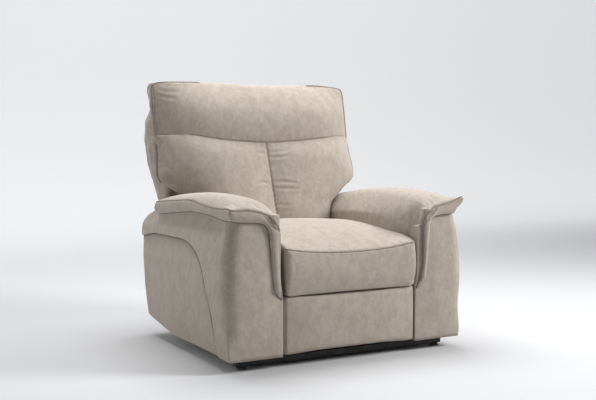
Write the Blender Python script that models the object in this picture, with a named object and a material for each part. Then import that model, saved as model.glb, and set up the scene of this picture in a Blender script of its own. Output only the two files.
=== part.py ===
"""Glider nursery chair: an upholstered rocker-recliner on a gliding base.

Run with: blender --background --python part.py

Metres, +Z up, origin on the floor under the middle of the chair. The sitter
faces -Y, so the sitter's left is +X. The chair hangs from the base on four
swing links, a double parallelogram on each side carries the footrest, the
backrest turns on two hinge plates and a round pull frees the footrest latch.
"""

from math import atan2, cos, pi, radians, sin

import bmesh
import bpy
from mathutils import Matrix, Vector

# ---- driving dimensions -------------------------------------------------
WIDTH = 0.98            # over the arms
DEPTH = 0.95            # arm pad tip to the rear of the back
HEIGHT = 1.045          # crown of the back
GAP = 0.0003            # left between pieces that touch
FLOOR_CLEARANCE = 0.04  # under the arms

ARM_OUT = WIDTH / 2
ARM_IN = 0.283
ARM_TOP = 0.528
FRONT = -0.458          # front of the arms and of the seat
REAR = DEPTH / 2

GLIDE_Y = 0.14          # swing links stand this far before and behind the middle
GLIDE_TOP = 0.245
GLIDE_LOW = 0.090
POST_X = (0.195, 0.219)
SWING_X = (0.2235, 0.2275)
RAIL_X = (0.232, 0.279)

PLATE_X = (0.2795, 0.2825)    # mechanism side plates
OUTER_LINK_X = (0.2745, 0.2785)
INNER_LINK_X = (0.2695, 0.2735)
BRACKET_X = (0.2645, 0.2685)
LINK_HALF = 0.009
STUD = 0.004
HOLE = 0.0047

# Footrest linkage, as (forward, up) in the side view. Forward is -Y.
CRANK_PIVOT = Vector((0.255, 0.245))
CRANK = Vector((-0.045, -0.18459))
FOOT_PIVOT = Vector((0.378, 0.200))
GUIDE_STEP = 0.042      # guide link stands this far along the front link
CONTROL_STEP = 0.045    # control link stands this far up the crank

BACK_PIVOT = Vector((0.0, 0.175, 0.35))
LEAN = radians(18)
BACK_HALF = 0.455
BACK_NARROW = 0.272     # between the arms
SHELL_HALF = 0.470
CUSHION_FRONT = -0.085  # front and rear of the back cushions from the lean line
CUSHION_REAR = 0.045
WING_LOW = 0.270
ROLL_LOW = 0.4375

PULL = Vector((-ARM_IN, -0.16, 0.488))
PAWL_PIVOT = (-0.190, 0.325)
CABLE_HOLE = (-0.215, 0.295)

# ---- materials ----------------------------------------------------------
FINISHES = {
    "suede": ((0.50, 0.43, 0.36), 0.95, 0.0),
    "lining": ((0.06, 0.06, 0.06), 0.95, 0.0),
    "webbing": ((0.42, 0.35, 0.25), 0.9, 0.0),
    "black_steel": ((0.03, 0.03, 0.032), 0.45, 0.6),
    "zinc_steel": ((0.62, 0.62, 0.60), 0.35, 1.0),
    "timber": ((0.62, 0.45, 0.27), 0.7, 0.0),
    "dark_plastic": ((0.05, 0.05, 0.052), 0.5, 0.0),
}


def finish(name):
    """The Principled material of one finish, made on first use."""
    material = bpy.data.materials.get(name)
    if material:
        return material
    colour, roughness, metallic = FINISHES[name]
    material = bpy.data.materials.new(name)
    material.use_nodes = True
    shader = material.node_tree.nodes["Principled BSDF"]
    shader.inputs["Base Color"].default_value = (*colour, 1.0)
    shader.inputs["Roughness"].default_value = roughness
    shader.inputs["Metallic"].default_value = metallic
    return material


# ---- making pieces ------------------------------------------------------
def add(name, bm, slot, origin=(0, 0, 0)):
    """Turns a bmesh in world coordinates into an object with its origin at a given point."""
    bmesh.ops.recalc_face_normals(bm, faces=bm.faces)
    bmesh.ops.translate(bm, verts=bm.verts, vec=-Vector(origin))
    mesh = bpy.data.meshes.new(name)
    bm.to_mesh(mesh)
    bm.free()
    mesh.materials.append(finish(slot))
    piece = bpy.data.objects.new(name, mesh)
    piece.location = origin
    bpy.context.collection.objects.link(piece)
    return piece


def cutter(name, bm, owner, operation="DIFFERENCE"):
    """A hidden helper that a Boolean cuts from, or adds to, its owner."""
    helper = add(name, bm, "lining")
    helper.hide_render = True
    helper.display_type = "WIRE"
    boolean = owner.modifiers.new(name, "BOOLEAN")
    boolean.operation = operation
    boolean.object = helper
    boolean.solver = "EXACT"


def ring(bm, x, centre, radius, sides):
    """A loop of edges round a point of the side view, at one x."""
    corners = []
    for step in range(sides):
        turn = 2 * pi * step / sides
        corners.append(bm.verts.new((x, centre[0] + radius * cos(turn), centre[1] + radius * sin(turn))))
    return corners, close_loop(bm, corners)


def close_loop(bm, corners):
    """Joins corners into a closed loop of edges."""
    return [bm.edges.new((corners[i - 1], corners[i])) for i in range(len(corners))]


def plate(name, side, outline, x_range, slot, holes=(), studs=(), origin=(0, 0, 0)):
    """A flat plate across X from a side-view outline of (y, z), with holes (y, z, r).

    Studs are (y, z, x_end) and stand on the plate's inner face, towards x = 0.
    """
    inner, outer = x_range
    bm = bmesh.new()
    corners = [bm.verts.new((inner, y, z)) for y, z in outline]
    edges = close_loop(bm, corners)
    for y, z, radius in holes:
        edges += ring(bm, inner, (y, z), radius, 12)[1]
    stud_loops = []
    for y, z, _ in studs:
        loop, loop_edges = ring(bm, inner, (y, z), STUD, 12)
        stud_loops.append(loop)
        edges += loop_edges
    bmesh.ops.triangle_fill(bm, edges=edges, use_beauty=True)
    ends = [bm.faces.new(loop) for loop in stud_loops]
    grown = bmesh.ops.extrude_face_region(bm, geom=list(bm.faces), use_keep_orig=True)
    back = [item for item in grown["geom"] if isinstance(item, bmesh.types.BMVert)]
    bmesh.ops.translate(bm, verts=back, vec=(outer - inner, 0, 0))
    for end, (_, _, x_end) in zip(ends, studs):
        tip = bmesh.ops.extrude_discrete_faces(bm, faces=[end])["faces"][0]
        bmesh.ops.translate(bm, verts=tip.verts, vec=(x_end - inner, 0, 0))
    bmesh.ops.scale(bm, vec=(side, 1, 1), verts=bm.verts)
    return add(name, bm, slot, origin)


def capsule(a, b, half=LINK_HALF, steps=6):
    """The outline of a bar with round ends between two points of the side view."""
    heading = atan2(b[1] - a[1], b[0] - a[0])
    outline = []
    for centre, start in ((b, heading - pi / 2), (a, heading + pi / 2)):
        for step in range(steps + 1):
            turn = start + pi * step / steps
            outline.append((centre[0] + half * cos(turn), centre[1] + half * sin(turn)))
    return outline


def block(low, high, bevel=0.0, segments=1):
    """A bmesh box between two corners, with bevelled edges when asked."""
    bm = bmesh.new()
    bmesh.ops.create_cube(bm, size=1.0)
    low, high = Vector(low), Vector(high)
    bmesh.ops.scale(bm, vec=high - low, verts=bm.verts)
    bmesh.ops.translate(bm, vec=(low + high) / 2, verts=bm.verts)
    if bevel:
        bmesh.ops.bevel(bm, geom=list(bm.edges), offset=bevel, offset_type="OFFSET", affect="EDGES",
                        segments=segments, profile=0.5, material=-1)
    return bm


def other_end(bm, face):
    """The face at the far end of an extrusion that has just been made."""
    return next(f for f in bm.faces if f is not face and len(f.verts) == len(face.verts))


def slab(outline, x_low, x_high, cuts=1):
    """A bmesh solid with a side-view outline of (y, z), cut into strips across X."""
    bm = bmesh.new()
    face = bm.faces.new([bm.verts.new((x_low, y, z)) for y, z in outline])
    step = (x_high - x_low) / cuts
    bmesh.ops.extrude_face_region(bm, geom=[face], use_keep_orig=True)
    front = other_end(bm, face)
    bmesh.ops.translate(bm, verts=front.verts, vec=(step, 0, 0))
    for _ in range(cuts - 1):
        front = bmesh.ops.extrude_discrete_faces(bm, faces=[front])["faces"][0]
        bmesh.ops.translate(bm, verts=front.verts, vec=(step, 0, 0))
    return bm


def turned(profile, centre, sides=20):
    """A bmesh turned about the X direction through a centre, from a profile of (x, radius)."""
    bm = bmesh.new()
    points = [bm.verts.new((centre[0] + x, centre[1], centre[2] + r)) for x, r in profile]
    edges = [bm.edges.new(pair) for pair in zip(points, points[1:])]
    bmesh.ops.spin(bm, geom=points + edges, cent=centre, axis=(1, 0, 0), angle=2 * pi,
                   steps=sides, use_merge=True)
    bmesh.ops.remove_doubles(bm, verts=bm.verts, dist=1e-5)
    return bm


def drilled(owner, name, centre, x_low, x_high, radius=0.006):
    """Drills a round hole across X."""
    bm = bmesh.new()
    loop, _ = ring(bm, x_low, centre, radius, 12)
    face = bm.faces.new(loop)
    bmesh.ops.extrude_face_region(bm, geom=[face], use_keep_orig=True)
    far = other_end(bm, face)
    bmesh.ops.translate(bm, verts=far.verts, vec=(x_high - x_low, 0, 0))
    cutter(name, bm, owner)


def sides():
    """The sitter's left at +X and right at -X."""
    return (("left", 1), ("right", -1))


def across(side, x_range):
    """An x range on one side of the chair, low value first."""
    return sorted((side * x_range[0], side * x_range[1]))


def world(point):
    """A (forward, up) point of the linkage as (y, z)."""
    return (-point.x, point.y)


# ---- gliding base -------------------------------------------------------
TUBE_LOW, TUBE_HIGH = 0.010, 0.036
SIDE_TUBE_X = (0.192, 0.222)
CROSS_TUBE_Y = ((-0.410, -0.380), (0.330, 0.360))
GLIDE_FOOT_X = (0.42, 0.34)   # front, rear
POST_HALF = 0.0175


def make_base():
    """Floor frame: two cross tubes, two side tubes, four posts and four floor glides."""
    for place, (y_low, y_high), foot_x in zip(("front", "rear"), CROSS_TUBE_Y, GLIDE_FOOT_X):
        tube = block((-foot_x - 0.025, y_low, TUBE_LOW), (foot_x + 0.025, y_high, TUBE_HIGH), 0.003)
        add(f"base_{place}_tube", tube, "black_steel")
        for name, side in sides():
            foot = bmesh.new()
            bmesh.ops.create_cone(foot, cap_ends=True, segments=20, radius1=0.019, radius2=0.015,
                                  depth=TUBE_LOW - GAP)
            middle = Vector((side * foot_x, (y_low + y_high) / 2, (TUBE_LOW - GAP) / 2))
            bmesh.ops.translate(foot, verts=foot.verts, vec=middle)
            add(f"floor_glide_{place}_{name}", foot, "dark_plastic")
    front_end, rear_end = CROSS_TUBE_Y[0][1] + GAP, CROSS_TUBE_Y[1][0] - GAP
    for name, side in sides():
        x_low, x_high = across(side, SIDE_TUBE_X)
        tube = block((x_low, front_end, TUBE_LOW), (x_high, rear_end, TUBE_HIGH), 0.003)
        add(f"base_side_tube_{name}", tube, "black_steel")
        for place, y in (("front", -GLIDE_Y), ("rear", GLIDE_Y)):
            outline = [(y - POST_HALF, TUBE_HIGH + GAP), (y + POST_HALF, TUBE_HIGH + GAP),
                       (y + POST_HALF, GLIDE_TOP + 0.01), (y + 0.010, GLIDE_TOP + 0.018),
                       (y - 0.010, GLIDE_TOP + 0.018), (y - POST_HALF, GLIDE_TOP + 0.01)]
            inner, outer = POST_X
            # The stud faces outwards here, so the plate is drawn from its outer face.
            plate(f"swing_post_{place}_{name}", side, outline, (outer, inner), "black_steel",
                  studs=[(y, GLIDE_TOP, SWING_X[1] + 0.001)])


def make_swing_links():
    """Four hanging links that carry the chair on the base."""
    for name, side in sides():
        for place, y in (("front", -GLIDE_Y), ("rear", GLIDE_Y)):
            top, low = (y, GLIDE_TOP), (y, GLIDE_LOW)
            plate(f"swing_link_{place}_{name}", side, capsule(low, top, 0.0125), SWING_X, "zinc_steel",
                  holes=[(*top, HOLE), (*low, HOLE)], origin=(0, y, GLIDE_TOP))


# ---- carriage and seat --------------------------------------------------
RAIL_Y = (-0.165, 0.200)
SEAT_RAIL_TOP = 0.3555
SPRING_LOW, SPRING_HIGH = 0.3565, 0.3605
CUSHION_LOW = 0.3635


def make_carriage():
    """Rails hung on the swing links, and the side plates that hold the mechanism."""
    for name, side in sides():
        low, high = GLIDE_LOW - 0.015, GLIDE_LOW + 0.015
        outline = [(RAIL_Y[0], low), (RAIL_Y[1], low), (RAIL_Y[1], high), (RAIL_Y[0], high)]
        studs = [(y, GLIDE_LOW, SWING_X[0] - 0.001) for y in (-GLIDE_Y, GLIDE_Y)]
        plate(f"carriage_rail_{name}", side, outline, RAIL_X, "black_steel", studs=studs)

        shape = [(-0.345, 0.065), (0.200, 0.065), (0.207, 0.350), (0.197, 0.378), (0.155, 0.378),
                 (0.122, 0.356), (-0.300, 0.356), (-0.345, 0.300)]
        guide = CRANK_PIVOT + GUIDE_STEP * along_front_link()
        pins = [(*world(CRANK_PIVOT), OUTER_LINK_X[0] - 0.0001), (*world(guide), OUTER_LINK_X[0] - 0.001),
                (BACK_PIVOT.y, BACK_PIVOT.z, BACK_PLATE_X[0] - 0.001), (*PAWL_PIVOT, PAWL_X[0] - 0.001)]
        if side > 0:
            pins = pins[:3]
        hole = [(*CABLE_HOLE, 0.006)] if side < 0 else []
        plate(f"mechanism_plate_{name}", side, shape, PLATE_X, "black_steel", holes=hole, studs=pins)


def make_seat():
    """Seat rails, sinuous springs and the seat cushion that wraps over the front rail."""
    add("seat_front_rail", block((-0.2825, -0.400, 0.285), (0.2825, -0.375, SEAT_RAIL_TOP), 0.002), "timber")
    add("seat_rear_rail", block((-0.279, 0.060, 0.300), (0.279, 0.085, SEAT_RAIL_TOP), 0.002), "timber")
    for number, x in enumerate((-0.15, 0.0, 0.15), start=1):
        add(f"seat_spring_{number}", sinuous(x, -0.393, 0.078, SPRING_LOW, SPRING_HIGH), "zinc_steel")

    outline = [(-0.405, 0.266), (FRONT + 0.014, 0.266), (FRONT, 0.282), (FRONT, 0.395), (-0.445, 0.420),
               (-0.400, 0.445), (-0.280, 0.465), (-0.120, 0.476), (0.060, 0.482), (0.110, 0.478),
               (0.104, CUSHION_LOW), (-0.405, CUSHION_LOW)]
    half = 0.28
    cushion = slab(outline, -half, half, 10)
    for vert in cushion.verts:
        if vert.co.z > CUSHION_LOW + 0.01:
            vert.co.z -= 0.042 * abs(vert.co.x / half) ** 2.5 * min(1.0, (vert.co.z - CUSHION_LOW) / 0.08)
    add("seat_cushion", cushion, "suede")


def sinuous(x, y_low, y_high, z_low, z_high):
    """A zigzag spring wire of square section, as one closed solid."""
    swing, wire, runs = 0.020, 0.004, 18
    pitch = (y_high - y_low) / runs
    left, right = [], []
    for step in range(2 * runs + 1):
        turn = pi * step / 2
        y = y_low + pitch * step / 2
        offset = swing * sin(turn)
        left.append((x + offset - wire, y))
        right.append((x + offset + wire, y))
    bm = bmesh.new()
    low = [bm.verts.new((px, py, z_low)) for px, py in left + right[::-1]]
    count = len(left)
    faces = [bm.faces.new((low[i], low[i + 1], low[2 * count - 2 - i], low[2 * count - 1 - i]))
             for i in range(count - 1)]
    grown = bmesh.ops.extrude_face_region(bm, geom=faces, use_keep_orig=True)
    top = [item for item in grown["geom"] if isinstance(item, bmesh.types.BMVert)]
    bmesh.ops.translate(bm, verts=top, vec=(0, 0, z_high - z_low))
    return bm


# ---- arms ---------------------------------------------------------------
def arm_outline(inset=0.0, top=ARM_TOP, low=FLOOR_CLEARANCE):
    """The side view of an arm: square front, kicked-up rear corner, rounded rear top."""
    return [(FRONT + inset, low), (0.085, low), (0.316 - inset, 0.070 if inset == 0 else low),
            (0.357 - inset, 0.084 if inset == 0 else low + 0.02), (0.387 - inset, 0.188),
            (0.410 - inset, 0.370), (0.402 - inset, 0.435), (0.372 - inset, top - 0.040),
            (0.331 - inset, top - 0.017), (0.245 - inset, top), (FRONT + inset, top)]


def make_arms():
    """Arm covers over their boards, with a pillow-topped pad on each."""
    for name, side in sides():
        x_low, x_high = across(side, (ARM_IN, ARM_OUT))
        shell = slab(arm_outline(), x_low, x_high)
        edges = [e for e in shell.edges if all(abs(v.co.x) > ARM_OUT - 0.001 for v in e.verts)
                 and (all(v.co.y < FRONT + 0.001 for v in e.verts) or all(v.co.z > 0.35 for v in e.verts))]
        bmesh.ops.bevel(shell, geom=edges, offset=0.030, offset_type="OFFSET", affect="EDGES",
                        segments=3, profile=0.5, material=-1)
        cover = add(f"arm_cover_{name}", shell, "suede")
        hollow_x = across(side, (ARM_IN + 0.0125, ARM_OUT - 0.020))
        cutter(f"arm_hollow_{name}", slab(arm_outline(0.028, ARM_TOP - 0.028, -0.05), *hollow_x), cover)

        board = [(-0.425, 0.060), (0.270, 0.060), (0.330, 0.200), (0.355, 0.370), (0.335, 0.430),
                 (0.290, 0.465), (-0.425, 0.465)]
        board_piece = add(f"arm_board_{name}", slab(board, *across(side, (0.2958, 0.3138))), "timber")
        if side < 0:
            drilled(cover, "cable_hole_cover", CABLE_HOLE, -0.300, -0.275)
            drilled(board_piece, "cable_hole_board", CABLE_HOLE, -0.320, -0.290)
            drilled(cover, "pull_hole_cover", (PULL.y, PULL.z), -0.300, -0.275)

        low = ARM_TOP + GAP
        pad = [(0.238, low), (0.262, 0.545), (0.247, 0.566), (0.150, 0.586), (0.010, 0.596), (-0.119, 0.602),
               (-0.266, 0.592), (-0.370, 0.586), (-0.440, 0.594), (-DEPTH / 2, 0.582), (-0.470, 0.552),
               (FRONT, low)]
        pillow = slab(pad, x_low + 0.0001, x_high, 6)
        middle = (x_low + x_high) / 2
        for vert in pillow.verts:
            if vert.co.z > 0.56:
                vert.co.z -= 0.020 * abs((vert.co.x - middle) / (x_high - middle)) ** 3
        add(f"arm_pillow_{name}", pillow, "suede")


def make_apron():
    """Lower rear panel between the arms."""
    half = ARM_IN - 0.001
    outline = [(0.372, 0.062), (0.3845, 0.062), (0.3865, 0.215), (0.374, 0.215)]
    add("rear_apron", slab(outline, -half, half), "suede")


# ---- back ---------------------------------------------------------------
BACK_PLATE_X = (0.2665, 0.2705)
STILE_X = (0.225, 0.2655)
FRAME_N = (0.0475, 0.0725)
STILE_TOP = 0.555


def leaned(n, u):
    """A point n behind and u up the lean line, as (y, z)."""
    return (BACK_PIVOT.y + n * cos(LEAN) + u * sin(LEAN), BACK_PIVOT.z - n * sin(LEAN) + u * cos(LEAN))


def lean_block(name, slot, x_range, n_range, u_range, bevel=0.002, segments=1):
    """A block square to the leaning back."""
    bm = block((x_range[0], n_range[0], u_range[0]), (x_range[1], n_range[1], u_range[1]), bevel, segments)
    bmesh.ops.rotate(bm, verts=bm.verts, cent=(0, 0, 0), matrix=Matrix.Rotation(-LEAN, 3, "X"))
    bmesh.ops.translate(bm, verts=bm.verts, vec=BACK_PIVOT)
    return add(name, bm, slot, BACK_PIVOT)


def make_back_frame():
    """Stiles, rails, webbing and the two hinge plates."""
    for name, side in sides():
        lean_block(f"back_stile_{name}", "timber", across(side, STILE_X), FRAME_N, (0.028, STILE_TOP))
        shape = [(-0.018, -0.006), (-0.010, -0.017), (0.010, -0.017), (0.050, 0.000), (0.072, 0.026),
                 (0.072, 0.250), (0.048, 0.250), (0.048, 0.058), (-0.006, 0.018), (-0.018, 0.008)]
        plate(f"back_hinge_plate_{name}", side, [leaned(n, u) for n, u in shape], BACK_PLATE_X, "black_steel",
              holes=[(BACK_PIVOT.y, BACK_PIVOT.z, HOLE)], origin=BACK_PIVOT)
    inside = STILE_X[0] - GAP
    lean_block("back_top_rail", "timber", (-0.430, 0.430), FRAME_N, (STILE_TOP + GAP, 0.600))
    lean_block("back_bottom_rail", "timber", (-inside, inside), FRAME_N, (0.032, 0.075))
    lean_block("back_webbing", "webbing", (-inside, inside), (0.052, 0.056), (0.0754, STILE_TOP), 0.0)


def make_back_cushions():
    """Lumbar cushion, narrow between the arms and wide above them, and the head roll."""
    low = 0.060
    lumbar = lean_block("lumbar_cushion", "suede", (-BACK_HALF, BACK_HALF), (CUSHION_FRONT, CUSHION_REAR),
                        (WING_LOW, ROLL_LOW - GAP), 0.022, 2)
    tongue = block((-BACK_NARROW, CUSHION_FRONT, low), (BACK_NARROW, CUSHION_REAR, WING_LOW + 0.06), 0.020, 2)
    bmesh.ops.rotate(tongue, verts=tongue.verts, cent=(0, 0, 0), matrix=Matrix.Rotation(-LEAN, 3, "X"))
    bmesh.ops.translate(tongue, verts=tongue.verts, vec=BACK_PIVOT)
    cutter("lumbar_tongue", tongue, lumbar, "UNION")

    crown = 0.040   # the highest point stands this far before the lean line
    top = (HEIGHT - BACK_PIVOT.z - crown * sin(LEAN)) / cos(LEAN)
    roll = [(CUSHION_FRONT, ROLL_LOW + 0.022), (CUSHION_FRONT, top - 0.064), (CUSHION_FRONT + 0.018, top - 0.022),
            (-crown, top), (-0.010, top + 0.004), (0.022, top - 0.010), (CUSHION_REAR, top - 0.040),
            (CUSHION_REAR, ROLL_LOW + 0.014), (CUSHION_REAR - 0.014, ROLL_LOW), (CUSHION_FRONT + 0.022, ROLL_LOW)]
    head = slab([leaned(n, u) for n, u in roll[::-1]], -BACK_HALF, BACK_HALF, 8)
    for vert in head.verts:
        if vert.co.z > 0.95:
            vert.co -= 0.014 * abs(vert.co.x / BACK_HALF) ** 2 * Vector((0, sin(LEAN), cos(LEAN)))
    add("head_cushion", head, "suede", BACK_PIVOT)


def make_back_shell():
    """Outer back: a shallow tray behind the cushions with a tail that hangs between the arms."""
    low = (0.300, 0.600)
    front_top = leaned(CUSHION_REAR + GAP, 0.640)
    front_low = leaned(CUSHION_REAR + GAP, WING_LOW + 0.02)
    outer = [front_low, low, (0.420, 0.500), (0.452, 0.700), (REAR, 0.885), (0.468, 0.925), front_top]
    shell = add("back_shell", slab(outer, -SHELL_HALF, SHELL_HALF), "suede", BACK_PIVOT)

    tail = [(0.357, 0.245), (0.372, 0.245), (0.395, 0.360), (0.4195, 0.500), (0.434, 0.590), (0.418, 0.590),
            (0.405, 0.502), (0.380, 0.360)]
    cutter("shell_tail", slab(tail, -0.275, 0.275), shell, "UNION")

    hollow = [(0.260, 0.630), (0.312, 0.612), (0.409, 0.524), (0.438, 0.700), (0.459, 0.880), (0.455, 0.905),
              (0.395, 0.915), (0.340, 0.915)]
    cutter("shell_hollow", slab(hollow, -SHELL_HALF + 0.014, SHELL_HALF - 0.014), shell)
    slot = [(0.230, 0.480), (0.404, 0.480), (0.409, 0.524), (0.412, 0.560), (0.300, 0.640), (0.230, 0.640)]
    cutter("shell_slot", slab(slot, -0.2745, 0.2745), shell)


# ---- footrest -----------------------------------------------------------
def along_front_link():
    """Unit vector from the crank's end to the footrest pivot."""
    return (FOOT_PIVOT - CRANK_PIVOT - CRANK).normalized()


def make_footrest():
    """Crank, guide, front and control links on each side, their torque tube and the footrest board."""
    knee = CRANK_PIVOT + CRANK
    crank_way = CRANK.normalized()
    guide_top = CRANK_PIVOT + GUIDE_STEP * along_front_link()
    guide_low = knee + GUIDE_STEP * along_front_link()
    control_rear = knee - CONTROL_STEP * crank_way
    control_front = FOOT_PIVOT - CONTROL_STEP * crank_way
    for name, side in sides():
        reach = INNER_LINK_X[0] - 0.001
        plate(f"crank_link_{name}", side, capsule(world(knee), world(CRANK_PIVOT)), OUTER_LINK_X, "zinc_steel",
              holes=[(*world(CRANK_PIVOT), HOLE)], studs=[(*world(knee), reach), (*world(control_rear), reach)],
              origin=(0, *world(CRANK_PIVOT)))
        plate(f"guide_link_{name}", side, capsule(world(guide_low), world(guide_top)), OUTER_LINK_X, "zinc_steel",
              holes=[(*world(guide_top), HOLE), (*world(guide_low), HOLE)], origin=(0, *world(guide_top)))
        front = plate(f"front_link_{name}", side, capsule(world(knee), world(FOOT_PIVOT)), INNER_LINK_X,
                      "zinc_steel", holes=[(*world(knee), HOLE)],
                      studs=[(*world(FOOT_PIVOT), BRACKET_X[0] - 0.001)], origin=(0, *world(knee)))
        pin = turned([(0, 0), (0, STUD), (0.0055, STUD), (0.0055, 0)],
                     (INNER_LINK_X[1] - 0.0005, *world(guide_low)), 12)
        bmesh.ops.scale(pin, vec=(side, 1, 1), verts=pin.verts)
        cutter(f"guide_pin_{name}", pin, front, "UNION")
        plate(f"control_link_{name}", side, capsule(world(control_rear), world(control_front), 0.0085),
              INNER_LINK_X, "zinc_steel", holes=[(*world(control_rear), HOLE)],
              studs=[(*world(control_front), BRACKET_X[0] - 0.001)], origin=(0, *world(control_rear)))
        shape = [(-0.417, 0.060), (-0.395, 0.060), (-0.366, 0.190), (-0.366, 0.212), (-0.380, 0.2535),
                 (-0.417, 0.2535)]
        plate(f"footrest_bracket_{name}", side, shape, BRACKET_X, "black_steel",
              holes=[(*world(FOOT_PIVOT), HOLE), (*world(control_front), HOLE)], origin=(0, *world(FOOT_PIVOT)))
    pivot = (0, *world(CRANK_PIVOT))
    end = OUTER_LINK_X[0] - GAP
    profile = [(-end, 0), (-end, 0.010), (-0.262, 0.010), (-0.262, 0.022), (-0.257, 0.022), (-0.257, 0.010),
               (end, 0.010), (end, 0)]
    add("torque_tube", turned(profile, pivot, 16), "black_steel", pivot)
    foot = (0, *world(FOOT_PIVOT))
    half = BRACKET_X[0] - 2 * GAP
    add("footrest_board", block((-half, -0.417, 0.050), (half, -0.405, 0.245), 0.001), "timber", foot)
    add("footrest_pad", block((-0.279, FRONT, FLOOR_CLEARANCE + 0.002), (0.279, -0.4173, 0.256), 0.010, 2),
        "suede", foot)


# ---- release ------------------------------------------------------------
PAWL_X = (0.2615, 0.2655)


def make_release():
    """Round pull in a bezel inside the right arm, its cable and the latch pawl."""
    bezel = turned([(0, 0.006), (0, 0.020), (0.004, 0.023), (0.0055, 0.023), (0.0055, 0.006), (0, 0.006)],
                   (-ARM_IN + 0.0003, PULL.y, PULL.z), 24)
    bmesh.ops.scale(bezel, vec=(-1, 1, 1), verts=bezel.verts, space=Matrix.Translation((ARM_IN - 0.00305, 0, 0)))
    add("release_bezel", bezel, "dark_plastic")
    profile = [(-0.045, 0), (-0.045, 0.0042), (0.0065, 0.0042), (0.0065, 0.015), (0.010, 0.0165),
               (0.015, 0.0165), (0.018, 0.013), (0.0185, 0)]
    add("release_pull", turned(profile, tuple(PULL), 20), "dark_plastic", PULL)

    route = [Vector((-0.3290, PULL.y, PULL.z)), Vector((-0.340, -0.160, 0.486)), Vector((-0.348, -0.163, 0.472)),
             Vector((-0.350, -0.168, 0.440)), Vector((-0.348, -0.182, 0.390)), Vector((-0.343, -0.200, 0.340)),
             Vector((-0.334, -0.212, 0.306)), Vector((-0.320, CABLE_HOLE[0], CABLE_HOLE[1])),
             Vector((-0.300, CABLE_HOLE[0], CABLE_HOLE[1])), Vector((-0.2662, CABLE_HOLE[0], CABLE_HOLE[1]))]
    curve = bpy.data.curves.new("release_cable", "CURVE")
    curve.dimensions = "3D"
    curve.bevel_depth = 0.0025
    curve.bevel_resolution = 2
    curve.use_fill_caps = True
    smooth = smooth_points(route, 4)
    spline = curve.splines.new("POLY")
    spline.points.add(len(smooth) - 1)
    for point, place in zip(spline.points, smooth):
        point.co = (*place, 1.0)
    curve.materials.append(finish("dark_plastic"))
    cable = bpy.data.objects.new("release_cable", curve)
    bpy.context.collection.objects.link(cable)

    tip = (-0.2335, 0.2685)
    plate("latch_pawl", -1, capsule(PAWL_PIVOT, tip, 0.0075), PAWL_X, "zinc_steel",
          holes=[(*PAWL_PIVOT, HOLE)], origin=(0, *PAWL_PIVOT))


def smooth_points(route, steps):
    """Points on a Catmull-Rom curve through a route."""
    points = []
    ends = [2 * route[0] - route[1]] + route + [2 * route[-1] - route[-2]]
    for a, b, c, d in zip(ends, ends[1:], ends[2:], ends[3:]):
        for step in range(steps):
            t = step / steps
            points.append(0.5 * (2 * b + (c - a) * t + (2 * a - 5 * b + 4 * c - d) * t * t
                                 + (3 * b - a - 3 * c + d) * t ** 3))
    return points + [route[-1]]


def main():
    for item in list(bpy.data.objects):
        bpy.data.objects.remove(item)
    make_base()
    make_swing_links()
    make_carriage()
    make_seat()
    make_arms()
    make_apron()
    make_back_frame()
    make_back_cushions()
    make_back_shell()
    make_footrest()
    make_release()


main()
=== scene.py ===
"""Looks of the glider nursery chair: upholstery, hardware finishes, stage and lights."""

from math import cos, exp, hypot, pi, radians, sin, sqrt

import bmesh
import bpy
from mathutils import Euler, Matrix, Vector, noise
from mathutils.kdtree import KDTree


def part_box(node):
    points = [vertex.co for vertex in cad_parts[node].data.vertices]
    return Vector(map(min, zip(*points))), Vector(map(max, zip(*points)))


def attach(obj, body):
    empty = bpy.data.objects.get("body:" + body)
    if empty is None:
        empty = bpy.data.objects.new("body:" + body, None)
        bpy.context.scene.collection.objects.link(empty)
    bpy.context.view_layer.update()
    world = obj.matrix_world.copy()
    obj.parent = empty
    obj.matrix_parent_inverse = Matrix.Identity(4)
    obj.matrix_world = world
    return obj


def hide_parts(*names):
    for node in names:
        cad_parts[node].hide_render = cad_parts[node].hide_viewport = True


bl_info = {
    "name": "Glider Nursery Chair",
    "version": (1, 0, 0),
    "blender": (4, 5, 0),
    "location": "View3D > Sidebar > Glider Chair",
    "description": "Upholstery, hardware finishes and studio stage for a packed glider chair",
    "category": "Object",
}

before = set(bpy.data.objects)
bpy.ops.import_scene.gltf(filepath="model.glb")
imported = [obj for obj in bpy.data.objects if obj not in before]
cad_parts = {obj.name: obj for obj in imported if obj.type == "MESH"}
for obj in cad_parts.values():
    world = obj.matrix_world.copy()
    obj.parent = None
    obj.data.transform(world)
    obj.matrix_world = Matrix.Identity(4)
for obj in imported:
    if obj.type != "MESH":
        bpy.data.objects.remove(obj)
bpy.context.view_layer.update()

SIDES = {"left": 1.0, "right": -1.0}
LEAN = radians(18)
BACK_PIVOT = Vector((0.0, 0.175, 0.35))
LINE_STEP = 0.002
SEAM_HOLD = 0.008
CLOTH_FRAMES = 20
MOST_FACES = 45000


def chosen():
    """The sizes and colours set in the panel."""
    return bpy.context.scene.glider_chair


# ---------------------------------------------------------------- small maths

def lerp(a, b, t):
    return a + (b - a) * t


def clamp(value, low=0.0, high=1.0):
    return max(low, min(high, value))


def ease(t):
    t = clamp(t)
    return t * t * (3 - 2 * t)


def table(value, rows):
    """The value that a table of (input, output) rows gives, straight between rows."""
    if value <= rows[0][0]:
        return rows[0][1]
    for (x0, y0), (x1, y1) in zip(rows, rows[1:]):
        if value <= x1:
            return lerp(y0, y1, (value - x0) / (x1 - x0))
    return rows[-1][1]


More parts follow.
